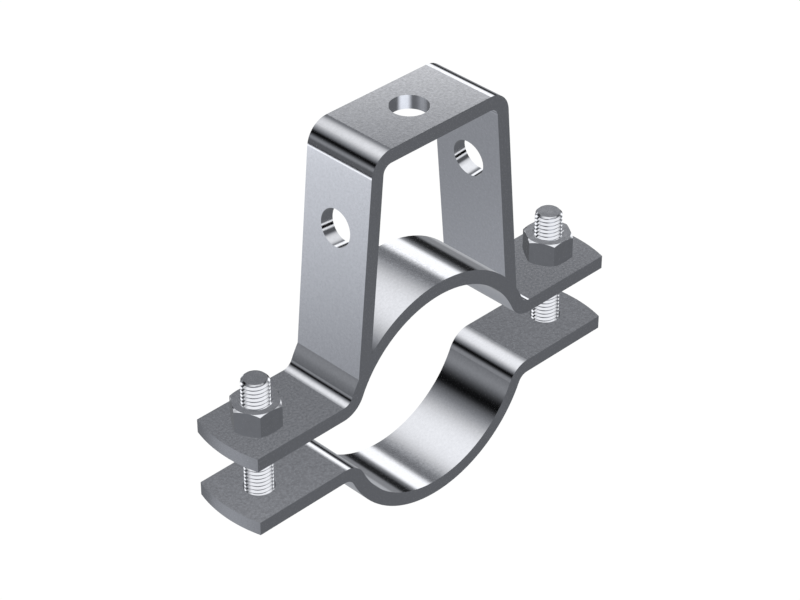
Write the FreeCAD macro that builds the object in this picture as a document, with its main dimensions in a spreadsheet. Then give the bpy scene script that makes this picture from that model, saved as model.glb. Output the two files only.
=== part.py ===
# Sway brace pipe attachment: a two-piece strap clamp that bolts round a pipe,
# with an upside-down U of the same strap standing on its upper half.
# The brace fitting is pinned through the yoke's top plate or its legs.
#
# Axes: +Y along the pipe, +X along the clamp's ears, +Z up through the yoke.
# The origin is the pipe's centre, halfway across the strap. Lengths are in millimetres.

import FreeCAD, Part
import math
import os
import Sketcher

V = FreeCAD.Vector

# Driving sizes: name, value, what it measures
SIZES = [
    ("seat_diameter", 101.6, "inside of the closed clamp, the pipe's outside diameter"),
    ("strap_width", 38.1, "width of the flat bar, along the pipe"),
    ("strap_thickness", 6.7, "thickness of the flat bar"),
    ("ear_gap", 27.2, "space between the upper and the lower ears"),
    ("ear_end_radius", 66.0, "roundness of an ear's end, seen from above"),
    ("ear_bend_radius", 5.5, "inside radius of the bend from saddle to ear"),
    ("bolt_reach", 90.0, "from the pipe's axis to a bolt's axis"),
    ("bolt_to_tip", 19.4, "from a bolt's axis to the tip of its ear"),
    ("bolt_diameter", 12.7, "over the thread crests"),
    ("bolt_length", 64.0, "under the head"),
    ("bolt_end_chamfer", 1.2, "bevel at the thread's start"),
    ("bolt_hole_clearance", 0.8, "all round a bolt in its ear"),
    ("head_width", 19.05, "across the flats of a bolt head"),
    ("head_height", 7.9, "thickness of a bolt head"),
    ("head_face_diameter", 18.25, "circle at which a bolt head's corner bevel starts"),
    ("nut_width", 20.6, "across the flats of a nut"),
    ("nut_height", 11.9, "thickness of a nut"),
    ("nut_face_diameter", 21.0, "circle at which a nut's corner bevel starts"),
    ("nut_mouth_chamfer", 0.9, "countersink at each end of a nut's bore"),
    ("thread_clearance", 0.1, "all round a bolt in its nut"),
    ("corner_bevel_angle", 30.0, "degrees between a nut's face and its corner bevel"),
    ("yoke_height", 137.0, "from the pipe's axis to the top of the yoke"),
    ("yoke_width", 78.6, "outside width of the yoke at its top corners, measured square"),
    ("yoke_bend_radius", 4.5, "inside radius of the yoke's two bends"),
    ("leg_lean", 5.0, "degrees that each leg spreads outwards on its way down"),
    ("top_hole_diameter", 17.5, "hole through the yoke's top"),
    ("leg_hole_diameter", 17.5, "hole through each leg"),
    ("leg_hole_height", 96.2, "from the pipe's axis up to a leg hole, on the leg's outer face"),
    ("cut_overrun", 5.0, "how far a cutting outline runs past the metal"),
]


def make_sheet(doc):
    """The spreadsheet: a label, a plain number with an alias, and a note in each row."""
    sheet = doc.addObject("Spreadsheet::Sheet", "sizes")
    for row, (alias, value, note) in enumerate(SIZES, start=1):
        sheet.set("A%d" % row, alias.replace("_", " "))
        sheet.set("B%d" % row, str(value))
        sheet.setAlias("B%d" % row, alias)
        sheet.set("C%d" % row, note)
    return sheet


doc = FreeCAD.newDocument("sway_brace_pipe_attachment")
sizes = make_sheet(doc)
doc.recompute()


def origin_plane(body, role):
    """One of a body's own three base planes, such as XZ_Plane."""
    return next(plane for plane in body.Origin.OriginFeatures if plane.Role == role)


def new_sketch(body, name, role):
    sketch = body.newObject("Sketcher::SketchObject", name)
    sketch.AttachmentSupport = [(origin_plane(body, role), "")]
    sketch.MapMode = "FlatFace"
    return sketch


def line(sketch, first, last):
    return sketch.addGeometry(Part.LineSegment(V(*first, 0), V(*last, 0)), False)


def arc(sketch, middle, radius, first_angle, last_angle):
    """An arc that runs anticlockwise from first_angle to last_angle, in radians."""
    circle = Part.Circle(V(*middle, 0), V(0, 0, 1), radius)
    return sketch.addGeometry(Part.ArcOfCircle(circle, first_angle, last_angle), False)


# A sketch's own origin, as its constraints name it
ORIGIN = (-1, 1)


def start(element):
    """A constraint's name for the point where a line or an arc starts."""
    return element, 1


def end(element):
    return element, 2


def centre(element):
    return element, 3


def rule(sketch, kind, *where):
    return sketch.addConstraint(Sketcher.Constraint(kind, *where))


def on_axis(sketch, point, axis):
    """Keeps a point on the sketch's own x or y axis."""
    rule(sketch, "PointOnObject", *point, -1 if axis == "x" else -2)


def dimension(sketch, name, kind, *where, formula):
    """A dimension whose value comes from the sheet; where ends with its starting value."""
    index = rule(sketch, kind, *where)
    sketch.renameConstraint(index, name)
    sketch.setExpression("Constraints." + name, formula)


# Lengths that differ by less than this count as the same
SAME = 1e-6


def pad(body, name, sketch, length, centred=False, downwards=False):
    feature = body.newObject("PartDesign::Pad", name)
    feature.Profile = sketch
    feature.SideType = "Symmetric" if centred else "One side"
    feature.Reversed = downwards
    feature.setExpression("Length", length)
    return feature


def cut_through(body, name, sketch, centred=False):
    """A pocket right through everything on the side that the sketch's normal points to."""
    feature = body.newObject("PartDesign::Pocket", name)
    feature.Profile = sketch
    feature.Type = "ThroughAll"
    feature.SideType = "Symmetric" if centred else "One side"
    feature.Reversed = not centred
    return feature


def mirror(body, name, features, role):
    """Repeats features on the other side of one of the body's base planes."""
    feature = body.newObject("PartDesign::Mirrored", name)
    feature.Originals = features
    feature.MirrorPlane = (origin_plane(body, role), [""])
    body.Tip = feature
    return feature


def circle_on(body, name, role, centre_x, diameter, at_x=None):
    """A sketch of one circle, at the origin or at a distance along the sketch's X axis."""
    sketch = new_sketch(body, name, role)
    ring = sketch.addGeometry(Part.Circle(V(centre_x, 0, 0), V(0, 0, 1), diameter[0] / 2), False)
    if at_x is None:
        rule(sketch, "Coincident", *centre(ring), *ORIGIN)
    else:
        on_axis(sketch, centre(ring), "x")
        dimension(sketch, "reach", "DistanceX", *ORIGIN, *centre(ring), centre_x, formula=at_x)
    dimension(sketch, "across", "Diameter", ring, diameter[0], formula=diameter[1])
    return sketch


# From the pipe's axis to the tip of an ear
EAR_REACH = "sizes.bolt_reach + sizes.bolt_to_tip"


def clamp_half_outline(body):
    """Half of a clamp half, seen along the pipe: saddle, bend and ear on the +X side."""
    seat = sizes.seat_diameter / 2
    wall = sizes.strap_thickness
    bend = sizes.ear_bend_radius
    reach = sizes.bolt_reach + sizes.bolt_to_tip
    low = sizes.ear_gap / 2
    high = low + wall
    bend_z = high + bend
    bend_x = math.sqrt((seat + wall + bend) ** 2 - bend_z ** 2)
    turn = math.atan2(bend_z, bend_x)
    crown, foot = math.pi / 2, 1.5 * math.pi
    sketch = new_sketch(body, "strap_outline", "XZ_Plane")
    inner_saddle = arc(sketch, (0, 0), seat, turn, crown)
    lower_bend = arc(sketch, (bend_x, bend_z), bend + wall, turn + math.pi, foot)
    underside = line(sketch, (bend_x, low), (reach, low))
    tip = line(sketch, (reach, low), (reach, high))
    top = line(sketch, (reach, high), (bend_x, high))
    upper_bend = arc(sketch, (bend_x, bend_z), bend, turn + math.pi, foot)
    outer_saddle = arc(sketch, (0, 0), seat + wall, turn, crown)
    middle = line(sketch, (0, seat + wall), (0, seat))
    rule(sketch, "Tangent", *start(inner_saddle), *start(lower_bend))
    rule(sketch, "Tangent", *end(lower_bend), *start(underside))
    rule(sketch, "Coincident", *end(underside), *start(tip))
    rule(sketch, "Coincident", *end(tip), *start(top))
    rule(sketch, "Tangent", *end(top), *end(upper_bend))
    rule(sketch, "Tangent", *start(upper_bend), *start(outer_saddle))
    rule(sketch, "Coincident", *end(outer_saddle), *start(middle))
    rule(sketch, "Coincident", *end(middle), *end(inner_saddle))
    rule(sketch, "Coincident", *centre(inner_saddle), *ORIGIN)
    rule(sketch, "Coincident", *centre(outer_saddle), *ORIGIN)
    rule(sketch, "Coincident", *centre(lower_bend), *centre(upper_bend))
    on_axis(sketch, end(inner_saddle), "y")
    on_axis(sketch, end(outer_saddle), "y")
    rule(sketch, "Horizontal", underside)
    rule(sketch, "Horizontal", top)
    rule(sketch, "Vertical", tip)
    dimension(sketch, "seat", "Radius", inner_saddle, seat, formula="sizes.seat_diameter / 2")
    dimension(sketch, "bend", "Radius", upper_bend, bend, formula="sizes.ear_bend_radius")
    dimension(sketch, "half_gap", "DistanceY", *ORIGIN, *start(underside), low, formula="sizes.ear_gap / 2")
    dimension(sketch, "reach", "DistanceX", *ORIGIN, *start(tip), reach, formula=EAR_REACH)
    dimension(sketch, "wall", "DistanceY", *start(tip), *end(tip), wall, formula="sizes.strap_thickness")
    return sketch


def ear_end_outline(body):
    """What is sheared off an ear, seen from above, to leave a rounded end."""
    radius = sizes.ear_end_radius
    reach = sizes.bolt_reach + sizes.bolt_to_tip
    centre_x = reach - radius
    far = reach + sizes.cut_overrun
    side = sizes.strap_width / 2 + sizes.cut_overrun
    spread = math.asin(side / radius)
    near = centre_x + radius * math.cos(spread)
    sketch = new_sketch(body, "ear_end_outline", "XY_Plane")
    rounding = arc(sketch, (centre_x, 0), radius, -spread, spread)
    back = line(sketch, (near, side), (far, side))
    beyond = line(sketch, (far, side), (far, -side))
    front = line(sketch, (far, -side), (near, -side))
    rule(sketch, "Coincident", *end(rounding), *start(back))
    rule(sketch, "Coincident", *end(back), *start(beyond))
    rule(sketch, "Coincident", *end(beyond), *start(front))
    rule(sketch, "Coincident", *end(front), *start(rounding))
    on_axis(sketch, centre(rounding), "x")
    rule(sketch, "Horizontal", back)
    rule(sketch, "Vertical", beyond)
    rule(sketch, "Horizontal", front)
    half_cut = "sizes.strap_width / 2 + sizes.cut_overrun"
    dimension(sketch, "roundness", "Radius", rounding, radius, formula="sizes.ear_end_radius")
    dimension(sketch, "centre_reach", "DistanceX", *ORIGIN, *centre(rounding), centre_x,
              formula=EAR_REACH + " - sizes.ear_end_radius")
    dimension(sketch, "beyond_reach", "DistanceX", *ORIGIN, *start(beyond), far,
              formula=EAR_REACH + " + sizes.cut_overrun")
    dimension(sketch, "back_side", "DistanceY", *ORIGIN, *start(back), side, formula=half_cut)
    dimension(sketch, "front_side", "DistanceY", *end(front), *ORIGIN, side, formula=half_cut)
    return sketch


def make_clamp_half(label):
    """One bent strap of the clamp, as the upper half; its saddle opens downwards."""
    body = doc.addObject("PartDesign::Body", label)
    strap = pad(body, "strap", clamp_half_outline(body), "sizes.strap_width", centred=True)
    ear_end = cut_through(body, "ear_end", ear_end_outline(body))
    hole = (sizes.bolt_diameter + 2 * sizes.bolt_hole_clearance,
            "sizes.bolt_diameter + 2 * sizes.bolt_hole_clearance")
    hole_sketch = circle_on(body, "bolt_hole_circle", "XY_Plane", sizes.bolt_reach, hole,
                            "sizes.bolt_reach")
    bolt_hole = cut_through(body, "bolt_hole", hole_sketch)
    mirror(body, "both_ears", [strap, ear_end, bolt_hole], "YZ_Plane")
    return body


def yoke_outline(body):
    """Half of the yoke, seen along the pipe: top, bend and one leg, cut to sit on the saddle."""
    wall = sizes.strap_thickness
    inner, outer = sizes.yoke_bend_radius, sizes.yoke_bend_radius + wall
    lean = math.radians(sizes.leg_lean)
    height = sizes.yoke_height
    seat = sizes.seat_diameter / 2 + wall
    bend_x = sizes.yoke_width / 2 - outer * math.tan((math.pi / 2 - lean) / 2)
    bend_z = height - outer

    def leg_point(radius):
        """Where a leg's face leaves its bend, and where it meets the round saddle."""
        top = (bend_x + radius * math.cos(lean), bend_z + radius * math.sin(lean))
        along = top[1] * math.cos(lean) - top[0] * math.sin(lean)
        across = top[0] * math.cos(lean) + top[1] * math.sin(lean)
        down = along - math.sqrt(seat ** 2 - across ** 2)
        return top, (top[0] + down * math.sin(lean), top[1] - down * math.cos(lean))

    inner_top, inner_foot = leg_point(inner)
    outer_top, outer_foot = leg_point(outer)
    sketch = new_sketch(body, "strap_outline", "XZ_Plane")
    ceiling = line(sketch, (0, height - wall), (bend_x, height - wall))
    inner_bend = arc(sketch, (bend_x, bend_z), inner, lean, math.pi / 2)
    inner_leg = line(sketch, inner_top, inner_foot)
    foot = arc(sketch, (0, 0), seat, math.atan2(outer_foot[1], outer_foot[0]),
               math.atan2(inner_foot[1], inner_foot[0]))
    outer_leg = line(sketch, outer_foot, outer_top)
    outer_bend = arc(sketch, (bend_x, bend_z), outer, lean, math.pi / 2)
    roof = line(sketch, (bend_x, height), (0, height))
    middle = line(sketch, (0, height), (0, height - wall))
    rule(sketch, "Tangent", *end(ceiling), *end(inner_bend))
    rule(sketch, "Tangent", *start(inner_bend), *start(inner_leg))
    rule(sketch, "Coincident", *end(inner_leg), *end(foot))
    rule(sketch, "Coincident", *start(foot), *start(outer_leg))
    rule(sketch, "Tangent", *end(outer_leg), *start(outer_bend))
    rule(sketch, "Tangent", *end(outer_bend), *start(roof))
    rule(sketch, "Coincident", *end(roof), *start(middle))
    rule(sketch, "Coincident", *end(middle), *start(ceiling))
    rule(sketch, "Coincident", *centre(inner_bend), *centre(outer_bend))
    rule(sketch, "Coincident", *centre(foot), *ORIGIN)
    on_axis(sketch, start(ceiling), "y")
    on_axis(sketch, end(roof), "y")
    rule(sketch, "Horizontal", ceiling)
    rule(sketch, "Horizontal", roof)
    rule(sketch, "Parallel", inner_leg, outer_leg)
    dimension(sketch, "height", "DistanceY", *ORIGIN, *end(roof), height, formula="sizes.yoke_height")
    dimension(sketch, "wall", "DistanceY", *end(middle), *start(middle), wall,
              formula="sizes.strap_thickness")
    dimension(sketch, "bend", "Radius", inner_bend, inner, formula="sizes.yoke_bend_radius")
    dimension(sketch, "bend_place", "DistanceX", *ORIGIN, *centre(inner_bend), bend_x,
              formula="sizes.yoke_width / 2 - (sizes.yoke_bend_radius + sizes.strap_thickness)"
                      " * tan((90 deg - sizes.leg_lean * 1 deg) / 2)")
    dimension(sketch, "seat", "Radius", foot, seat,
              formula="sizes.seat_diameter / 2 + sizes.strap_thickness")
    dimension(sketch, "leg_slope", "Angle", outer_leg, math.pi / 2 + lean,
              formula="90 deg + sizes.leg_lean * 1 deg")
    return sketch


def make_yoke(label):
    """The upside-down U: two leaning legs and a top, each with one hole punched square."""
    body = doc.addObject("PartDesign::Body", label)
    strap = pad(body, "strap", yoke_outline(body), "sizes.strap_width", centred=True)
    leg_sketch = circle_on(body, "leg_hole_circle", "YZ_Plane", 0,
                           (sizes.leg_hole_diameter, "sizes.leg_hole_diameter"))
    leg_sketch.setExpression(
        "AttachmentOffset.Base.y",
        "sizes.leg_hole_height - (sizes.yoke_width / 2 + (sizes.yoke_height - sizes.leg_hole_height)"
        " * tan(sizes.leg_lean * 1 deg)) * tan(sizes.leg_lean * 1 deg)")
    leg_sketch.AttachmentOffset = FreeCAD.Placement(V(0, 0, 0), FreeCAD.Rotation(V(1, 0, 0), -1))
    leg_sketch.setExpression("AttachmentOffset.Rotation.Angle", "-sizes.leg_lean * 1 deg")
    leg_hole = cut_through(body, "leg_hole", leg_sketch)
    mirror(body, "both_legs", [strap, leg_hole], "YZ_Plane")
    top_hole = (sizes.top_hole_diameter, "sizes.top_hole_diameter")
    cut_through(body, "top_hole", circle_on(body, "top_hole_circle", "XY_Plane", 0, top_hole))
    return body


def hexagon(body, name, across_flats, formula):
    """A hexagon round the origin with corners on the X axis."""
    sketch = new_sketch(body, name, "XY_Plane")
    corner = across_flats / 2 / math.cos(math.pi / 6)
    points = [(corner * math.cos(i * math.pi / 3), corner * math.sin(i * math.pi / 3)) for i in range(6)]
    sides = [line(sketch, points[i], points[(i + 1) % 6]) for i in range(6)]
    ring = sketch.addGeometry(Part.Circle(V(0, 0, 0), V(0, 0, 1), corner), True)
    rule(sketch, "Coincident", *centre(ring), *ORIGIN)
    for i in range(6):
        rule(sketch, "Coincident", *end(sides[i]), *start(sides[(i + 1) % 6]))
        rule(sketch, "PointOnObject", *start(sides[i]), ring)
    for side in sides[1:]:
        rule(sketch, "Equal", sides[0], side)
    on_axis(sketch, start(sides[0]), "x")
    dimension(sketch, "corners", "Radius", ring, corner, formula=formula + " / 2 / cos(30 deg)")
    return sketch


def corner_bevel(body, name, width, face, top):
    """Turns the corners off a hexagon's upper face; each size is (value, formula)."""
    slope = math.radians(sizes.corner_bevel_angle)
    reach = width[0] / 2 / math.cos(math.pi / 6) + sizes.cut_overrun
    near, high = face[0] / 2, top[0]
    low = high - (reach - near) * math.tan(slope)
    sketch = new_sketch(body, name + "_outline", "XZ_Plane")
    above = line(sketch, (near, high), (reach, high))
    outside = line(sketch, (reach, high), (reach, low))
    bevel = line(sketch, (reach, low), (near, high))
    rule(sketch, "Coincident", *end(above), *start(outside))
    rule(sketch, "Coincident", *end(outside), *start(bevel))
    rule(sketch, "Coincident", *end(bevel), *start(above))
    rule(sketch, "Horizontal", above)
    rule(sketch, "Vertical", outside)
    dimension(sketch, "face", "DistanceX", *ORIGIN, *start(above), near, formula=face[1] + " / 2")
    dimension(sketch, "top", "DistanceY", *ORIGIN, *start(above), high, formula=top[1])
    dimension(sketch, "reach", "DistanceX", *ORIGIN, *end(above), reach,
              formula=width[1] + " / 2 / cos(30 deg) + sizes.cut_overrun")
    dimension(sketch, "drop", "DistanceY", *end(outside), *start(outside), high - low,
              formula="(%s / 2 / cos(30 deg) + sizes.cut_overrun - %s / 2)"
                      " * tan(sizes.corner_bevel_angle * 1 deg)" % (width[1], face[1]))
    groove = body.newObject("PartDesign::Groove", name)
    groove.Profile = sketch
    groove.ReferenceAxis = (sketch, ["V_Axis"])
    groove.Angle = 360
    return groove


def bevel_rims(body, name, base, heights, radius, formula):
    """Chamfers the round edges of one radius that lie at the given heights."""
    rims = []
    for number, edge in enumerate(base.Shape.Edges, start=1):
        is_rim = isinstance(edge.Curve, Part.Circle) and abs(edge.Curve.Radius - radius) < SAME
        if is_rim and any(abs(edge.Curve.Center.z - height) < SAME for height in heights):
            rims.append("Edge%d" % number)
    chamfer = body.newObject("PartDesign::Chamfer", name)
    chamfer.Base = (base, rims)
    chamfer.setExpression("Size", formula)
    return chamfer


def make_bolt(label, side):
    """A hex bolt, drawn head up and pushed in from below; side is -1 or 1 along X."""
    body = doc.addObject("PartDesign::Body", label)
    width = (sizes.head_width, "sizes.head_width")
    pad(body, "head", hexagon(body, "head_hexagon", *width), "sizes.head_height")
    corner_bevel(body, "head_bevel", width, (sizes.head_face_diameter, "sizes.head_face_diameter"),
                 (sizes.head_height, "sizes.head_height"))
    shank = (sizes.bolt_diameter, "sizes.bolt_diameter")
    stem = pad(body, "shank", circle_on(body, "shank_circle", "XY_Plane", 0, shank), "sizes.bolt_length",
               downwards=True)
    doc.recompute()
    bevel_rims(body, "thread_start", stem, [-sizes.bolt_length], sizes.bolt_diameter / 2,
               "sizes.bolt_end_chamfer")
    body.Placement.Rotation = FreeCAD.Rotation(V(1, 0, 0), 180)
    body.setExpression("Placement.Base.x", "%d * sizes.bolt_reach" % side)
    body.setExpression("Placement.Base.z", "-sizes.ear_gap / 2 - sizes.strap_thickness")
    return body


def make_nut(label, side):
    """A hex nut, drawn about its own middle, on top of an upper ear."""
    body = doc.addObject("PartDesign::Body", label)
    width = (sizes.nut_width, "sizes.nut_width")
    pad(body, "blank", hexagon(body, "nut_hexagon", *width), "sizes.nut_height", centred=True)
    bevel = corner_bevel(body, "bevel", width, (sizes.nut_face_diameter, "sizes.nut_face_diameter"),
                         (sizes.nut_height / 2, "sizes.nut_height / 2"))
    mirror(body, "both_faces", [bevel], "XY_Plane")
    bore = (sizes.bolt_diameter + 2 * sizes.thread_clearance,
            "sizes.bolt_diameter + 2 * sizes.thread_clearance")
    tapped = cut_through(body, "bore", circle_on(body, "bore_circle", "XY_Plane", 0, bore), centred=True)
    doc.recompute()
    bevel_rims(body, "bore_mouths", tapped, [-sizes.nut_height / 2, sizes.nut_height / 2], bore[0] / 2,
               "sizes.nut_mouth_chamfer")
    body.setExpression("Placement.Base.x", "%d * sizes.bolt_reach" % side)
    body.setExpression("Placement.Base.z",
                       "sizes.ear_gap / 2 + sizes.strap_thickness + sizes.nut_height / 2")
    return body


upper_half = make_clamp_half("upper_clamp_half")
lower_half = make_clamp_half("lower_clamp_half")
lower_half.Placement.Rotation = FreeCAD.Rotation(V(0, 1, 0), 180)
pieces = [upper_half, lower_half, make_yoke("brace_yoke")]
for side, word in ((-1, "left"), (1, "right")):
    pieces.append(make_bolt("bolt_" + word, side))
    pieces.append(make_nut("nut_" + word, side))
doc.recompute()

# Nothing is written unless every feature worked and every piece is one valid solid
for item in doc.Objects:
    if "Invalid" in item.State or "Error" in item.State:
        raise RuntimeError("failed feature: %s %s" % (item.Name, item.State))
    if item.TypeId == "Sketcher::SketchObject" and not item.FullyConstrained:
        raise RuntimeError("loose sketch: " + item.Name)
for piece in pieces:
    if piece.Shape.isNull() or not piece.Shape.isValid() or len(piece.Shape.Solids) != 1:
        raise RuntimeError("bad solid: " + piece.Label)

os.makedirs("parts", exist_ok=True)
for piece in pieces:
    box = piece.Shape.BoundBox
    print("%-17s %9.1f mm3  x %.1f to %.1f  y %.1f to %.1f  z %.1f to %.1f"
          % (piece.Label, piece.Shape.Volume, box.XMin, box.XMax, box.YMin, box.YMax, box.ZMin, box.ZMax))
    piece.Shape.exportStep(os.path.join("parts", piece.Label + ".step"))
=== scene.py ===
# %% [markdown]
# # A sway brace pipe attachment
# The real part is three bent steel bars, two bolts and two nuts. Two bars make a clamp round a pipe,
# and the third stands on it as a yoke, where the brace is bolted on. The solids come from the CAD
# model. This lesson gives them their looks: a camera, a studio, steel finishes and real threads.

# %% Load the part
import math
from collections import namedtuple

import bmesh
import bpy
from mathutils import Matrix, Vector


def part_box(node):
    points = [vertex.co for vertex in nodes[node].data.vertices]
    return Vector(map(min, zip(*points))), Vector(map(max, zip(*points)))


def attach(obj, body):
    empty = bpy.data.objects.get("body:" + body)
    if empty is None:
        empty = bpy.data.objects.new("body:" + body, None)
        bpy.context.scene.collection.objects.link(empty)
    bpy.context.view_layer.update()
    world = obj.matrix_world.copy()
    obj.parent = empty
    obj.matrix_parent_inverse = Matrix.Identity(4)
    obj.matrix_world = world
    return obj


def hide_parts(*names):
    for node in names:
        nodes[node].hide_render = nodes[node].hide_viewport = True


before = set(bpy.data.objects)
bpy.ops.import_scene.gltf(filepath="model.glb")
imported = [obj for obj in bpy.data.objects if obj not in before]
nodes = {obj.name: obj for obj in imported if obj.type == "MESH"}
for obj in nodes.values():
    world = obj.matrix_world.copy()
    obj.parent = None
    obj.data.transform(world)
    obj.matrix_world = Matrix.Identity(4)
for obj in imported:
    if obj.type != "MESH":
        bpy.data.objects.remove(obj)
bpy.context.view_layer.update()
MM = 0.001
print("pieces from the CAD model:", sorted(nodes))

# %% [markdown]
# ## A helper for node trees
# Finishes, the studio and the thread are all trees of nodes. Adding a node takes several lines: make
# it, set its properties and wire its inputs. One helper does all three, so that the trees below read
# like formulas. A value is set on its input, and another node's output is linked to it.


# %% Add a node in one line
def add_node(tree, kind, wires=None, **properties):
    made = tree.nodes.new(kind)
    for name, value in properties.items():
        setattr(made, name, value)
    for name, value in (wires or {}).items():
        if isinstance(value, bpy.types.NodeSocket):
            tree.links.new(value, made.inputs[name])
        else:
            made.inputs[name].default_value = value
    return made


def maths(tree, operation, first, second=0.0):
    made = add_node(tree, "ShaderNodeMath", {0: first, 1: second}, operation=operation)
    return made.outputs[0]


def ramp_between(tree, value, start, end, first=0.0, last=1.0, smooth=True):
    """Goes from first to last while the value goes from start to end."""
    kind = "SMOOTHSTEP" if smooth else "LINEAR"
    wires = {"Value": value, "From Min": start, "From Max": end, "To Min": first, "To Max": last}
    return add_node(tree, "ShaderNodeMapRange", wires, interpolation_type=kind).outputs["Result"]


print("helpers for trees:", [helper.__name__ for helper in (add_node, maths, ramp_between)])

# %% [markdown]
# ## The camera
# The picture looks down on the clamp from its left front corner, from far away through a long lens,
# so that lines that are parallel on the part stay almost parallel. A camera could be dragged into
# place by eye. Two angles and a distance place this one, because each can be put right without
# spoiling the others. The focal length is worked out in pixels of a picture 800 wide, and a 36 mm
# sensor turns it into millimetres.

# %% Set the camera
PICTURE_WIDTH = 800
SENSOR_WIDTH = 36.0
FOCAL_PIXELS = 2549.0
VIEW_AZIMUTH = math.radians(-44.66)
VIEW_ELEVATION = math.radians(35.07)
VIEW_DISTANCE = 1134.13 * MM
LOOK_RIGHT = -3.79 * MM
LOOK_DOWN = -31.6 * MM

towards_camera = Vector((
    math.sin(VIEW_AZIMUTH) * math.cos(VIEW_ELEVATION),
    -math.cos(VIEW_AZIMUTH) * math.cos(VIEW_ELEVATION),
    math.sin(VIEW_ELEVATION),
))
picture_right = (-towards_camera).cross(Vector((0, 0, 1))).normalized()
picture_down = (-towards_camera).cross(picture_right)
looked_at = picture_right * LOOK_RIGHT + picture_down * LOOK_DOWN

camera_data = bpy.data.cameras.new("camera")
camera_data.sensor_width = SENSOR_WIDTH
camera_data.lens = FOCAL_PIXELS / PICTURE_WIDTH * SENSOR_WIDTH
camera = bpy.data.objects.new("camera", camera_data)
camera.location = looked_at + towards_camera * VIEW_DISTANCE
camera.rotation_mode = "QUATERNION"
camera.rotation_quaternion = (-towards_camera).to_track_quat("-Z", "Y")
bpy.context.scene.collection.objects.link(camera)
bpy.context.scene.camera = camera
bpy.context.scene.view_settings.view_transform = "Standard"
print("lens in mm:", round(camera_data.lens, 1))

# %% [markdown]
# ## The studio: a white room
# Bright steel is a mirror, so most of its look is the room around it. The room is plain white and
# lights everything evenly, at a level where a colour renders as it is written. Lamps would light the
# part too, but each of them would leave a bright spot of its own in the steel.


# %% Light the room
def light_the_room():
    world = bpy.data.worlds.new("white_room")
    world.use_nodes = True
    background = world.node_tree.nodes["Background"]
    background.inputs["Color"].default_value = (1, 1, 1, 1)
    background.inputs["Strength"].default_value = 1.0
    bpy.context.scene.world = world
    return background


room_light = light_the_room()
print("the room shines with a strength of", room_light.inputs["Strength"].default_value)

# %% [markdown]
# ## The studio: a pale floor
# The floor lies far below the part, which a pipe holds in real life. It is matt and pale, with a
# little glow of its own, so that it renders white and still takes a shadow. More light would whiten
# it as well, but would bleach the part with it.

# %% Lay the floor
FLOOR_HEIGHT = -2.6
FLOOR_REACH = 30.0
FLOOR_TONE = 0.88
FLOOR_GLOW = 0.14


def new_material(name):
    made = bpy.data.materials.new(name)
    made.use_nodes = True
    made.node_tree.nodes.clear()
    return made


def add_output(tree, shader):
    add_node(tree, "ShaderNodeOutputMaterial", {"Surface": shader})


def pale_floor():
    material = new_material("pale_floor")
    tree = material.node_tree
    matt = add_node(tree, "ShaderNodeBsdfDiffuse", {"Color": (FLOOR_TONE, FLOOR_TONE, FLOOR_TONE, 1)})
    glow = add_node(tree, "ShaderNodeEmission", {"Color": (1, 1, 1, 1), "Strength": FLOOR_GLOW})
    both = add_node(tree, "ShaderNodeAddShader", {0: matt.outputs[0], 1: glow.outputs[0]})
    add_output(tree, both.outputs[0])
    return material


def lay_the_floor():
    edges = (-FLOOR_REACH, FLOOR_REACH)
    corners = [(x, y, FLOOR_HEIGHT) for x in edges for y in edges]
    mesh = bpy.data.meshes.new("floor")
    mesh.from_pydata(corners, [], [(0, 2, 3, 1)])
    mesh.materials.append(pale_floor())
    floor = bpy.data.objects.new("floor", mesh)
    bpy.context.scene.collection.objects.link(floor)


lay_the_floor()
print("floor at", FLOOR_HEIGHT, "m")

# %% [markdown]
# ## The studio: panels of a light tent
# In an all-white room bright steel looks like white paper. A photographer of metal hangs a tent of
# grey cloth round it, with black flags and bright panels, and the steel shows them as its bands.
# Each panel here is a patch of one tone, placed in degrees by its direction from the part: azimuth 0
# is +X and 90 is +Y, and low and high are elevations. Outside these its edges fade, each over its own
# soft width. Where two panels overlap, the later one covers the earlier one.
#
# What a face shows depends on where it points. Seen from this camera, level faces mirror the tent's
# right side, from +X round to +Y, and the legs mirror the left side, beyond +Y. A bend turns from
# one to the other and draws all that lies between as lines along its length. The front, round -Y,
# shows in the cut edges, in the walls of the holes and in the threads. The small panels in the
# corner, where right and left meet, put sparkle and dark stripes into the nuts and threads.

# %% Choose the panels
HALF_TURN = 180.0

Panel = namedtuple("Panel", "name azimuth half_width low high soft_low soft_high soft_side tone")
RIGHT_SIDE = [
    Panel("right_wall", 45, 45, -16, 60, 4, 6, 6, 0.29),
    Panel("right_low", 44, 18, -30, -19, 4, 4, 10, 0.48),
    Panel("right_deep", 68, 24, -70, -46, 4, 6, 10, 0.39),
    Panel("right_gap", 38, 20, 0, 5.5, 6, 9, 6, 0.018),
    Panel("right_bounce", 74, 10, -26, -15, 3, 3, 5, 1.2),
    Panel("right_strip", 45, 42, 17.5, 27, 5.5, 6.3, 4, 1.42),
    Panel("right_shade", 45, 45, 33.5, 37, 1, 5, 6, 0.22),
]
LEFT_SIDE = [
    Panel("left_wall", 122, 32, -26, 45, 4, 6, 10, 0.13),
    Panel("left_seam", 122, 36, -15, -12.5, 4, 3, 10, 0.08),
    Panel("left_low", 145, 4, -48, -27, 6, 3, 46, 0.36),
    Panel("left_deep", 129, 12, -60, -41, 4, 3, 8, 0.4),
    Panel("left_glow", 122, 32, 9.5, 11.5, 9, 16, 10, 0.3),
    Panel("left_upper", 122, 34, 33, 60, 4, 6, 8, 0.3),
    Panel("left_flag", 135, 22, 26.5, 28.5, 16, 14, 8, 0.004),
    Panel("left_bounce", 138, 20, -24.2, -23.8, 5.7, 8, 12, 0.75),
    Panel("left_edge", 138, 20, -22.6, -17.5, 0.8, 1.5, 12, 1.4),
]
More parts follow.
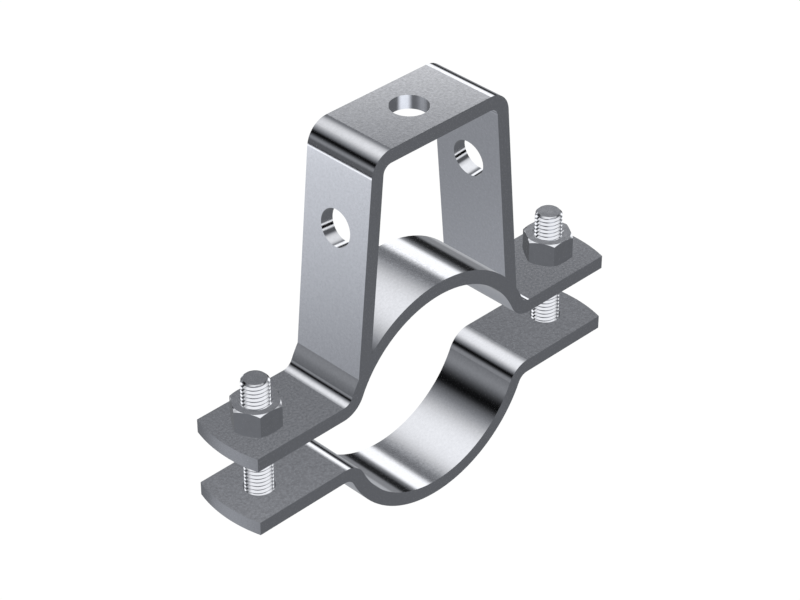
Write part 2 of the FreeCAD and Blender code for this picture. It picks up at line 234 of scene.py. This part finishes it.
CORNER = [
    Panel("corner_low", 79, 8, -42, -31, 4, 3, 3, 0.1),
    Panel("corner_strip", 84, 8, 14, 29, 4, 3, 3, 1.4),
    Panel("corner_flag", 95, 8, 34, 40, 3, 3, 3, 0.02),
    Panel("corner_lamp", 101, 6, 43, 47, 3, 2, 5, 1.2),
]
FRONT = [
    Panel("front_low", -28, 30, -60, -18, 6, 4, 20, 0.155),
    Panel("front_bounce", -108, 14, -27, -24, 12, 5, 34, 1.25),
    Panel("front_shade", -48, 34, 22, 36, 5, 6, 14, 0.12),
    Panel("front_upper", -15, 45, 45, 60, 12, 1, 15, 0.8),
    Panel("front_glow", -50, 28, -11, 15, 3, 7, 14, 1.05),
    Panel("front_bar", -50, 32, -3, 9, 2, 2, 14, 0.003),
]
OVERHEAD = [Panel("overhead", 0, HALF_TURN, 58, 90, 20, 1, 1, 1.18)]
PANELS = RIGHT_SIDE + LEFT_SIDE + CORNER + FRONT + OVERHEAD
print("panels in the tent:", [panel.name for panel in PANELS])

# %% [markdown]
# ## The studio: where a panel lies
# The panels could be painted on an image. The cloth works them out instead, so each edge is as soft
# as its panel says, and no pixels show. First it finds the direction in which a spot of it lies, as
# an elevation and an azimuth. A spot is in a panel if it is above its low edge, below its high edge
# and not too far aside. How far aside is wrapped into half a turn either way, because azimuths jump
# from 180 to -180 and a panel there would be cut in two.


# %% Find the spots of a panel
def direction_from_part(tree):
    """The elevation and azimuth of a spot on the cloth, in degrees."""
    place = add_node(tree, "ShaderNodeTexCoord").outputs["Object"]
    direction = add_node(tree, "ShaderNodeVectorMath", {0: place}, operation="NORMALIZE").outputs[0]
    axes = add_node(tree, "ShaderNodeSeparateXYZ", {0: direction}).outputs
    elevation = maths(tree, "DEGREES", maths(tree, "ARCSINE", axes["Z"]))
    azimuth = maths(tree, "DEGREES", maths(tree, "ARCTAN2", axes["Y"], axes["X"]))
    return elevation, azimuth


def panel_patch(tree, panel, elevation, azimuth):
    """1 inside a panel and 0 outside it, with a smooth step across its soft edges."""
    above_low = ramp_between(tree, elevation, panel.low - panel.soft_low, panel.low)
    below_high = ramp_between(tree, elevation, panel.high, panel.high + panel.soft_high, 1.0, 0.0)
    turned = maths(tree, "SUBTRACT", azimuth, panel.azimuth)
    wires = {0: turned, 1: HALF_TURN, 2: -HALF_TURN}
    wrapped = add_node(tree, "ShaderNodeMath", wires, operation="WRAP").outputs[0]
    aside = maths(tree, "ABSOLUTE", wrapped)
    within = ramp_between(tree, aside, panel.half_width, panel.half_width + panel.soft_side, 1.0, 0.0)
    return maths(tree, "MULTIPLY", maths(tree, "MULTIPLY", above_low, below_high), within)


widest = max(RIGHT_SIDE + LEFT_SIDE + CORNER + FRONT, key=lambda panel: panel.half_width)
print("the widest panel that has sides is", widest.name, "with", 2 * widest.half_width, "degrees")

# %% [markdown]
# ## The studio: the tent's cloth
# The cloth starts with a tone of its own and covers it with one panel after another. Bright cloth
# high up is plain white, and dark or low cloth is faintly blue, which gives the steel its cool
# shadows. It glows by itself, as cloth does with a lamp behind it, so no lamp has to be placed.

# %% Sew the cloth
TENT_TONE = 0.18
PLAIN_CLOTH = (1.0, 1.0, 1.0, 1)
COOL_CLOTH = (0.975, 1.0, 1.05, 1)
COOL_BELOW = -30.0
PLAIN_ABOVE = -10.0
PLAIN_TONE = 0.8
MIX_SOCKETS = {"FLOAT": (2, 3, 0), "RGBA": (6, 7, 2)}


def mix(tree, kind, share, first, second):
    """Mixes two numbers or two colours. The node has sockets of its own for each kind."""
    first_input, second_input, output = MIX_SOCKETS[kind]
    wires = {0: share, first_input: first, second_input: second}
    return add_node(tree, "ShaderNodeMix", wires, data_type=kind).outputs[output]


def tent_cloth():
    material = new_material("tent_cloth")
    material.use_backface_culling = False
    tree = material.node_tree
    elevation, azimuth = direction_from_part(tree)
    tone = TENT_TONE
    for panel in PANELS:
        patch = panel_patch(tree, panel, elevation, azimuth)
        tone = mix(tree, "FLOAT", patch, tone, panel.tone)
    high_up = ramp_between(tree, elevation, COOL_BELOW, PLAIN_ABOVE)
    bright = ramp_between(tree, tone, 0.0, PLAIN_TONE)
    tint = mix(tree, "RGBA", maths(tree, "MULTIPLY", high_up, bright), COOL_CLOTH, PLAIN_CLOTH)
    glow = add_node(tree, "ShaderNodeEmission", {"Color": tint, "Strength": tone})
    add_output(tree, glow.outputs[0])
    material.cycles.emission_sampling = "NONE"
    return material


TENT_CLOTH = tent_cloth()
print("the cloth takes", len(TENT_CLOTH.node_tree.nodes), "nodes")

# %% [markdown]
# ## The studio: hanging the tent
# The tent could be a box, but its corners would show in the steel. It is a big ball, pressed flat
# into a groundsheet just above the floor. It is so large that a panel lies in nearly the same
# direction from every piece of the clamp. Only reflections see it: it is hidden from the camera, it
# casts no shadow, and matt things such as the floor keep the room's plain light.

# %% Hang the tent
TENT_RADIUS = 9.0
TENT_FINENESS = 5
GROUNDSHEET = -2.5


def hang_the_tent():
    shape = bmesh.new()
    bmesh.ops.create_icosphere(shape, subdivisions=TENT_FINENESS, radius=TENT_RADIUS)
    for vertex in shape.verts:
        if vertex.co.z < GROUNDSHEET:
            vertex.co *= GROUNDSHEET / vertex.co.z
    mesh = bpy.data.meshes.new("light_tent")
    shape.to_mesh(mesh)
    shape.free()
    mesh.materials.append(TENT_CLOTH)
    tent = bpy.data.objects.new("light_tent", mesh)
    bpy.context.scene.collection.objects.link(tent)
    tent.visible_camera = False
    tent.visible_diffuse = False
    tent.visible_shadow = False
    tent.visible_transmission = False
    return tent


light_tent = hang_the_tent()
print("the tent has", len(light_tent.data.polygons), "faces")

# %% [markdown]
# ## Steel finishes: where a bar differs
# A bar isn't the same all over. Molten zinc runs off a standing face before it sets, so its grain is
# strongest on the level faces. The edges were cut, and are a little duller than the rolled faces.
# Such places could be painted on each mesh by hand. The way a face points tells them apart without
# that: a level face points up or down, and a cut edge points along the pipe, which is Y. The ears'
# ends were cut too: there, far out from the middle, an upright face is a cut one.

# %% Find the level faces and the cut edges
LEVEL_FROM = 0.99
SHEARED_FROM = 0.97
SHEARED_FULL = 0.99
UPRIGHT_FULL = 0.2
UPRIGHT_UNTIL = 0.3
EAR_END = 96 * MM


def size_along(tree, vector, axis):
    """The size, without its sign, of a face's Normal or of its Object place along an axis."""
    found = add_node(tree, "ShaderNodeTexCoord").outputs[vector]
    along = add_node(tree, "ShaderNodeSeparateXYZ", {0: found}).outputs[axis]
    return maths(tree, "ABSOLUTE", along)


def level_faces(tree):
    return ramp_between(tree, size_along(tree, "Normal", "Z"), LEVEL_FROM, 1.0)


def cut_edges(tree):
    sheared = ramp_between(tree, size_along(tree, "Normal", "Y"), SHEARED_FROM, SHEARED_FULL)
    outside = ramp_between(tree, size_along(tree, "Object", "X"), EAR_END, EAR_END + MM)
    upright = ramp_between(tree, size_along(tree, "Normal", "Z"), UPRIGHT_FULL, UPRIGHT_UNTIL, 1.0, 0.0)
    ear_end = maths(tree, "MULTIPLY", outside, upright)
    return maths(tree, "MAXIMUM", sheared, ear_end)


print("the ears' ends start", EAR_END / MM, "mm from the middle")

# %% [markdown]
# ## Steel finishes: the zinc coat
# Every piece has the same bright zinc coat, so all the finishes share three small functions. The
# grain is a fine noise that sits in the steel and is the same from all sides. The colour is that of
# zinc, made a little lighter or darker by the grain. The coat is a metal with that colour and with
# the roughness that its finish asks for.

# %% Mix the zinc coat
ZINC = (0.7, 0.712, 0.75, 1)
GRAIN_DETAIL = 1.0
GRAIN_ROUGHNESS = 0.6
GRAIN_MIDDLE = 0.5


def zinc_grain(tree, size):
    place = add_node(tree, "ShaderNodeTexCoord").outputs["Object"]
    wires = {"Vector": place, "Scale": 1 / size, "Detail": GRAIN_DETAIL, "Roughness": GRAIN_ROUGHNESS}
    return add_node(tree, "ShaderNodeTexNoise", wires).outputs["Fac"]


def zinc_colour(tree, grain, contrast):
    change = maths(tree, "MULTIPLY", maths(tree, "SUBTRACT", grain, GRAIN_MIDDLE), contrast)
    wires = {"Color": ZINC, "Value": maths(tree, "ADD", change, 1.0)}
    return add_node(tree, "ShaderNodeHueSaturation", wires).outputs[0]


def zinc_coat(material, colour, roughness, **more):
    tree = material.node_tree
    wires = {"Base Color": colour, "Metallic": 1.0, "Roughness": roughness, **more}
    add_output(tree, add_node(tree, "ShaderNodeBsdfPrincipled", wires).outputs[0])
    return material


print("zinc's red, green and blue:", ZINC[:3])

# %% [markdown]
# ## Steel finishes: bars, bolts and nuts
# On the bars the zinc set in tiny crystals, called spangles. They show as a fine speckle, and a very
# low bump makes each one catch the light its own way. The bolts and nuts have a thinner coat, so
# they show only a faint haze, which is a little rougher in some places than in others. One finish
# for all would be less work, but then either the threads would sparkle or the bars look polished.

# %% Make the finishes
ROLLED_ROUGHNESS = 0.1
CUT_ROUGHNESS = 0.16
FORGED_ROUGHNESS = 0.12
THREAD_ROUGHNESS = 0.1
SPANGLE_SIZE = 1.2 * MM
SPANGLE_HEIGHT = 0.0025 * MM
SPANGLE_CONTRAST = 0.6
STANDING_SHARE = 0.3
HAZE_SIZE = 2.5 * MM
HAZE_CONTRAST = 0.12
HAZE_ROUGHNESS = 0.015
HAZE_THIN = 0.3
HAZE_THICK = 0.7


def bar_finish(name):
    material = new_material(name)
    tree = material.node_tree
    spangle = zinc_grain(tree, SPANGLE_SIZE)
    share = ramp_between(tree, level_faces(tree), 0.0, 1.0, STANDING_SHARE, 1.0, smooth=False)
    colour = zinc_colour(tree, spangle, maths(tree, "MULTIPLY", share, SPANGLE_CONTRAST))
    rough = ramp_between(tree, cut_edges(tree), 0.0, 1.0, ROLLED_ROUGHNESS, CUT_ROUGHNESS, smooth=False)
    wires = {"Height": spangle, "Strength": 1.0, "Distance": SPANGLE_HEIGHT}
    bump = add_node(tree, "ShaderNodeBump", wires)
    return zinc_coat(material, colour, rough, Normal=bump.outputs[0])


def fastener_finish(name, roughness):
    material = new_material(name)
    tree = material.node_tree
    haze = zinc_grain(tree, HAZE_SIZE)
    colour = zinc_colour(tree, haze, HAZE_CONTRAST)
    least, most = roughness - HAZE_ROUGHNESS, roughness + HAZE_ROUGHNESS
    rough = ramp_between(tree, haze, HAZE_THIN, HAZE_THICK, least, most, smooth=False)
    return zinc_coat(material, colour, rough)


strap_steel = bar_finish("strap_steel_finish")
bolt_steel = fastener_finish("bolt_steel_finish", THREAD_ROUGHNESS)
nut_steel = fastener_finish("nut_steel_finish", FORGED_ROUGHNESS)
print("finishes:", [material.name for material in (strap_steel, bolt_steel, nut_steel)])

# %% [markdown]
# ## The three bars
# The two clamp halves and the yoke keep their CAD solids, because their outlines, bends and holes
# are already right. A solid keeps its mesh and only gets a new material in its slot. Each piece is
# also kept out of the other pieces' reflections, as in the picture, where each one mirrors only the
# tent: otherwise a nut or a leg would draw a dark double of itself on the ear below it.

# %% Dress the bars
BARS = ("lower_clamp_half", "upper_clamp_half", "brace_yoke")
for bar in BARS:
    nodes[bar].visible_glossy = False
    for slot in nodes[bar].material_slots:
        slot.material = strap_steel
print("bars:", BARS)

# %% [markdown]
# ## A screw thread: its profile
# A thread is one ridge that winds up a rod. A stack of rings would look like one from far away, but
# a real ridge climbs as it goes round, so here a flat grid is wound up. One side of the grid runs up
# the helix, and the other runs across one pitch, from root to crest and back to the root. Two
# functions say where a point of the grid goes: how high, and how far from the rod's middle. The grid
# is 1 wide and centred, so halves appear in them. Clamps give clean ends: heights stop at the rod's
# ends, a cone cuts the last crests down for the bevel at the top, and another makes the groove
# shallow where it starts, next to the plain shank.

# %% Shape the thread's profile
GRID_HALF = 0.5
CREST_HALF = 1 / 16
ROOT_HALF = 3 / 8
RUN_OUT_SLOPE = 0.6


def wound_height(tree, given, turn, across):
    steps = maths(tree, "ADD", turn, maths(tree, "SUBTRACT", across, GRID_HALF))
    height = maths(tree, "ADD", given["Start"], maths(tree, "MULTIPLY", steps, given["Pitch"]))
    return maths(tree, "MINIMUM", maths(tree, "MAXIMUM", height, given["Start"]), given["End"])


def ridge_radius(tree, given, across, height):
    crest, root = given["Crest Radius"], given["Root Radius"]
    off_crest = maths(tree, "ABSOLUTE", across)
    radius = ramp_between(tree, off_crest, CREST_HALF, ROOT_HALF, crest, root, smooth=False)
    from_end = maths(tree, "SUBTRACT", given["End"], height)
    radius = maths(tree, "MINIMUM", radius, maths(tree, "ADD", given["Rim Radius"], from_end))
    from_start = maths(tree, "SUBTRACT", height, given["Start"])
    run_out = maths(tree, "SUBTRACT", crest, maths(tree, "MULTIPLY", from_start, RUN_OUT_SLOPE))
    return maths(tree, "MAXIMUM", radius, run_out)


print("the crest is", 2 * CREST_HALF, "of a pitch wide, and the root", 1 - 2 * ROOT_HALF)

# %% [markdown]
# ## A screw thread: winding the grid
# A point's X on the grid says how many turns up it is, and its Y where it lies across the ridge.
# Height and radius follow from these two, and the sine and cosine of the turn put the point on its
# circle. The grid has one turn more than the rod has room for, because it starts a pitch too low:
# whatever is too low or too high is pressed flat by the clamps, and merged away later.

# %% Wind the grid
THREAD_STEPS = 48
PROFILE_STEPS = 16


def wound_sheet(tree, given):
    length = maths(tree, "SUBTRACT", given["End"], given["Start"])
    whole_turns = maths(tree, "CEIL", maths(tree, "DIVIDE", length, given["Pitch"]))
    turns = maths(tree, "ADD", whole_turns, 1.0)
    columns = maths(tree, "ADD", maths(tree, "MULTIPLY", turns, THREAD_STEPS), 1.0)
    wires = {"Vertices X": columns, "Vertices Y": PROFILE_STEPS + 1}
    sheet = add_node(tree, "GeometryNodeMeshGrid", wires).outputs["Mesh"]
    position = add_node(tree, "GeometryNodeInputPosition").outputs[0]
    spot = add_node(tree, "ShaderNodeSeparateXYZ", {0: position}).outputs
    turn = maths(tree, "MULTIPLY", maths(tree, "ADD", spot["X"], GRID_HALF), turns)
    height = wound_height(tree, given, turn, spot["Y"])
    radius = ridge_radius(tree, given, spot["Y"], height)
    angle = maths(tree, "MULTIPLY", turn, math.tau)
    wound = add_node(tree, "ShaderNodeCombineXYZ", {
        "X": maths(tree, "MULTIPLY", radius, maths(tree, "COSINE", angle)),
        "Y": maths(tree, "MULTIPLY", radius, maths(tree, "SINE", angle)),
        "Z": height,
    })
    wires = {"Geometry": sheet, "Position": wound.outputs[0]}
    return add_node(tree, "GeometryNodeSetPosition", wires).outputs[0]


print("faces in one turn of the thread:", THREAD_STEPS * PROFILE_STEPS)

# %% [markdown]
# ## A screw thread: its tree
# The tree winds the grid, closes the top with a disc and merges the points that meet. Each turn of
# the grid ends where the next one starts, so merging closes the skin. The sizes are named inputs of
# the tree, so that one tree can make the thread of any bolt.

# %% Build the thread tree
WELD = 0.002 * MM
THREAD_SIZES = ("Crest Radius", "Root Radius", "Pitch", "Start", "End", "Rim Radius")


def tree_with_inputs():
    tree = bpy.data.node_groups.new("rolled_thread", "GeometryNodeTree")
    tree.interface.new_socket("Geometry", in_out="OUTPUT", socket_type="NodeSocketGeometry")
    for name in THREAD_SIZES:
        tree.interface.new_socket(name, in_out="INPUT", socket_type="NodeSocketFloat")
    tree.interface.new_socket("Material", in_out="INPUT", socket_type="NodeSocketMaterial")
    return tree


def top_disc(tree, given):
    wires = {"Vertices": THREAD_STEPS, "Radius": given["Rim Radius"]}
    disc = add_node(tree, "GeometryNodeMeshCircle", wires, fill_type="NGON").outputs[0]
    top = add_node(tree, "ShaderNodeCombineXYZ", {"Z": given["End"]}).outputs[0]
    return add_node(tree, "GeometryNodeTransform", {"Geometry": disc, "Translation": top}).outputs[0]


def thread_tree():
    tree = tree_with_inputs()
    given = add_node(tree, "NodeGroupInput").outputs
    joined = add_node(tree, "GeometryNodeJoinGeometry")
    for surface in (wound_sheet(tree, given), top_disc(tree, given)):
        tree.links.new(surface, joined.inputs[0])
    wires = {"Geometry": joined.outputs[0], "Distance": WELD}
    welded = add_node(tree, "GeometryNodeMergeByDistance", wires)
    real = add_node(tree, "GeometryNodeRealizeInstances", {"Geometry": welded.outputs[0]})
    wires = {"Geometry": real.outputs[0], "Material": given["Material"]}
    coated = add_node(tree, "GeometryNodeSetMaterial", wires)
    add_node(tree, "NodeGroupOutput", {"Geometry": coated.outputs[0]})
    return tree


ROLLED_THREAD = thread_tree()
print("thread tree has", len(ROLLED_THREAD.nodes), "nodes")

# %% [markdown]
# ## A screw thread: from tree to mesh
# A tree works as a modifier on an object. It could stay there, but the thread has to become one mesh
# with its bolt's head. So an empty object gets the modifier and its sizes, the finished mesh is
# copied out of it, and the object is thrown away. A modifier's input goes by its socket's
# identifier, so the names are looked up first.


# %% Turn a tree into a plain mesh
def grown(tree, name, sizes, material):
    holder = bpy.data.objects.new(name, bpy.data.meshes.new(name))
    bpy.context.scene.collection.objects.link(holder)
    modifier = holder.modifiers.new("grow", "NODES")
    modifier.node_group = tree
    inputs = [item for item in tree.interface.items_tree if item.in_out == "INPUT"]
    identifiers = {item.name: item.identifier for item in inputs}
    for size, value in sizes.items():
        modifier[identifiers[size]] = value
    modifier[identifiers["Material"]] = material
    graph = bpy.context.evaluated_depsgraph_get()
    mesh = bpy.data.meshes.new_from_object(holder.evaluated_get(graph), depsgraph=graph)
    bpy.data.objects.remove(holder)
    return mesh


print("sizes that the thread takes:", THREAD_SIZES)

# %% [markdown]
# ## Rings of points
# Bolt heads and nuts are stacks of rings, with a skin from each ring to the next. Blender's own
# cylinder would do for a plain rod, but a ring whose points each have a reach and a height of their
# own can follow any outline. It has as many points as a turn of the thread, so the two can meet.

# %% Draw rings of points and skin them
RING = THREAD_STEPS


def ring(shape, reach, height):
    """A ring of points. reach and height are numbers, or say what they are at each angle."""
    made = []
    for step in range(RING):
        angle = math.tau * step / RING
        far = reach(angle) if callable(reach) else reach
        high = height(angle) if callable(height) else height
        made.append(shape.verts.new((far * math.cos(angle), far * math.sin(angle), high)))
    return made


def skin(shape, lower, upper):
    for step in range(RING):
        after = (step + 1) % RING
        shape.faces.new((lower[step], lower[after], upper[after], upper[step]))


print("points in a ring:", RING)

# %% [markdown]
# ## A hexagon with cut corners
# The corners of a bolt head or a nut are cut by a cone, which leaves the curved crescents that every
# forged one has. A cylinder with six sides and a bevel would lose them. Rings keep them: a hexagon's
# reach in any direction is known, and so is the height at which the cone meets it.

# %% Draw a hexagon
CORNER_BEVEL = math.radians(30)
SHOWN_HEXAGON = 10


def hexagon_reach(angle, across_flats):
    """How far a hexagon with corners on +X and -X reaches in a direction."""
    sixth = math.pi / 3
    from_flat = angle % sixth - sixth / 2
    return across_flats / 2 / math.cos(from_flat)


def hexagon_rings(shape, across_flats, face_radius, low, high, bevel_high):
    """The rings of a hexagonal prism. A cone cuts its low corners, and its high ones if asked."""

    def reach(angle):
        return hexagon_reach(angle, across_flats)

    def face(angle):
        return min(reach(angle), face_radius)

    def drop(angle):
        return max(0.0, reach(angle) - face_radius) * math.tan(CORNER_BEVEL)

    def low_edge(angle):
        return low + drop(angle)

    def high_edge(angle):
        return high - drop(angle)

    return [
        ring(shape, face, low),
        ring(shape, reach, low_edge),
        ring(shape, reach, high_edge if bevel_high else high),
        ring(shape, face, high),
    ]


across_corners = 2 * hexagon_reach(0, SHOWN_HEXAGON)
print("a hexagon", SHOWN_HEXAGON, "across its flats is", round(across_corners, 2), "across its corners")

# %% [markdown]
# ## Finishing a piece
# Bolts and nuts are drawn round the origin and go through the same last steps. The points that meet
# are merged, so that the skin closes, and only then can Blender tell which way is out and turn the
# faces. The piece moves to the place of the CAD piece that it stands for. Smooth shading hides the
# facets, apart from edges that are really sharp. Each edge could be marked by hand, but one angle
# finds them all.

# %% Finish a piece
SHARP_ANGLE = math.radians(28)


def finish_piece(shape, name, node, material):
    low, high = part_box(node)
    centre = Vector(((low.x + high.x) / 2, (low.y + high.y) / 2, 0))
    bmesh.ops.remove_doubles(shape, verts=shape.verts, dist=WELD)
    bmesh.ops.dissolve_degenerate(shape, edges=shape.edges, dist=WELD)
    bmesh.ops.recalc_face_normals(shape, faces=shape.faces)
    bmesh.ops.translate(shape, verts=shape.verts, vec=centre)
    open_edges = sum(1 for edge in shape.edges if not edge.is_manifold)
    mesh = bpy.data.meshes.new(name)
    shape.to_mesh(mesh)
    shape.free()
    mesh.materials.clear()
    mesh.materials.append(material)
    mesh.polygons.foreach_set("use_smooth", [True] * len(mesh.polygons))
    mesh.set_sharp_from_angle(angle=SHARP_ANGLE)
    piece = bpy.data.objects.new(name, mesh)
    bpy.context.scene.collection.objects.link(piece)
    piece.visible_glossy = False
    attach(piece, "root")
    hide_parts(node)
    print(name, "has", len(mesh.polygons), "faces and", open_edges, "open edges")


print("edges are sharp from", round(math.degrees(SHARP_ANGLE)), "degrees")

# %% [markdown]
# ## The bolts
# Each bolt is a hex bolt, threaded almost up to its head, which sits under the lower ear. The head
# and a short plain shank are a stack of rings that meets the foot of the thread. A boolean could join
# a separate head to the thread, but shared rings leave a cleaner mesh. The bolt's length, its place
# and its head's width come from the CAD bolt, so it fits the ears as that one does.

# %% Make the bolts
INCH = 25.4 * MM
BOLT_RADIUS = INCH / 4
THREADS_PER_INCH = 13
PITCH = INCH / THREADS_PER_INCH
FLANK_ANGLE = math.radians(60)
THREAD_DEPTH = (ROOT_HALF - CREST_HALF) * PITCH * math.tan(FLANK_ANGLE)
ROOT_RADIUS = BOLT_RADIUS - THREAD_DEPTH
END_BEVEL = 1.2 * MM
HEAD_HEIGHT = 7.9 * MM
HEAD_FACE_RADIUS = 18.25 / 2 * MM
UNTHREADED = 3.0 * MM


def make_bolt(node):
    low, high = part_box(node)
    across_flats = high.y - low.y
    seat = low.z + HEAD_HEIGHT
    sizes = {
        "Crest Radius": BOLT_RADIUS,
        "Root Radius": ROOT_RADIUS,
        "Pitch": PITCH,
        "Start": seat + UNTHREADED,
        "End": high.z,
        "Rim Radius": BOLT_RADIUS - END_BEVEL,
    }
    thread = grown(ROLLED_THREAD, node + "_thread", sizes, bolt_steel)
    shape = bmesh.new()
    shape.from_mesh(thread)
    rings = hexagon_rings(shape, across_flats, HEAD_FACE_RADIUS, low.z, seat, bevel_high=False)
    rings.append(ring(shape, BOLT_RADIUS, seat))
    rings.append(ring(shape, BOLT_RADIUS, seat + UNTHREADED))
    for lower, upper in zip(rings, rings[1:]):
        skin(shape, lower, upper)
    shape.faces.new(reversed(rings[0]))
    finish_piece(shape, node + "_threaded", node, bolt_steel)


for node in ("bolt_left", "bolt_right"):
    make_bolt(node)

# %% [markdown]
# ## The nuts
# A nut is the same hexagon with both ends bevelled and a hole through it, opened out at its mouths
# by a small countersink, which starts the bolt's thread cleanly. Its rings run round its whole
# section, from the hole over the outside and back into the hole, so no hole has to be cut. A nut
# stops where it is tight, so its flats don't quite line up with the ear: these two are turned by a
# few degrees.

# %% Make the nuts
BORE_CLEARANCE = 0.1 * MM
BORE_RADIUS = BOLT_RADIUS + BORE_CLEARANCE
MOUTH_BEVEL = 0.9 * MM
NUT_FACE_RADIUS = 21.0 / 2 * MM
NUT_TURN = math.radians(-3)


def make_nut(node):
    low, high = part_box(node)
    across_flats = high.y - low.y
    shape = bmesh.new()
    rings = [
        ring(shape, BORE_RADIUS, low.z + MOUTH_BEVEL),
        ring(shape, BORE_RADIUS + MOUTH_BEVEL, low.z),
    ]
    rings += hexagon_rings(shape, across_flats, NUT_FACE_RADIUS, low.z, high.z, bevel_high=True)
    rings += [
        ring(shape, BORE_RADIUS + MOUTH_BEVEL, high.z),
        ring(shape, BORE_RADIUS, high.z - MOUTH_BEVEL),
    ]
    for lower, upper in zip(rings, rings[1:] + rings[:1]):
        skin(shape, lower, upper)
    bmesh.ops.rotate(shape, verts=shape.verts, matrix=Matrix.Rotation(NUT_TURN, 3, "Z"))
    finish_piece(shape, node + "_forged", node, nut_steel)


for node in ("nut_left", "nut_right"):
    make_nut(node)
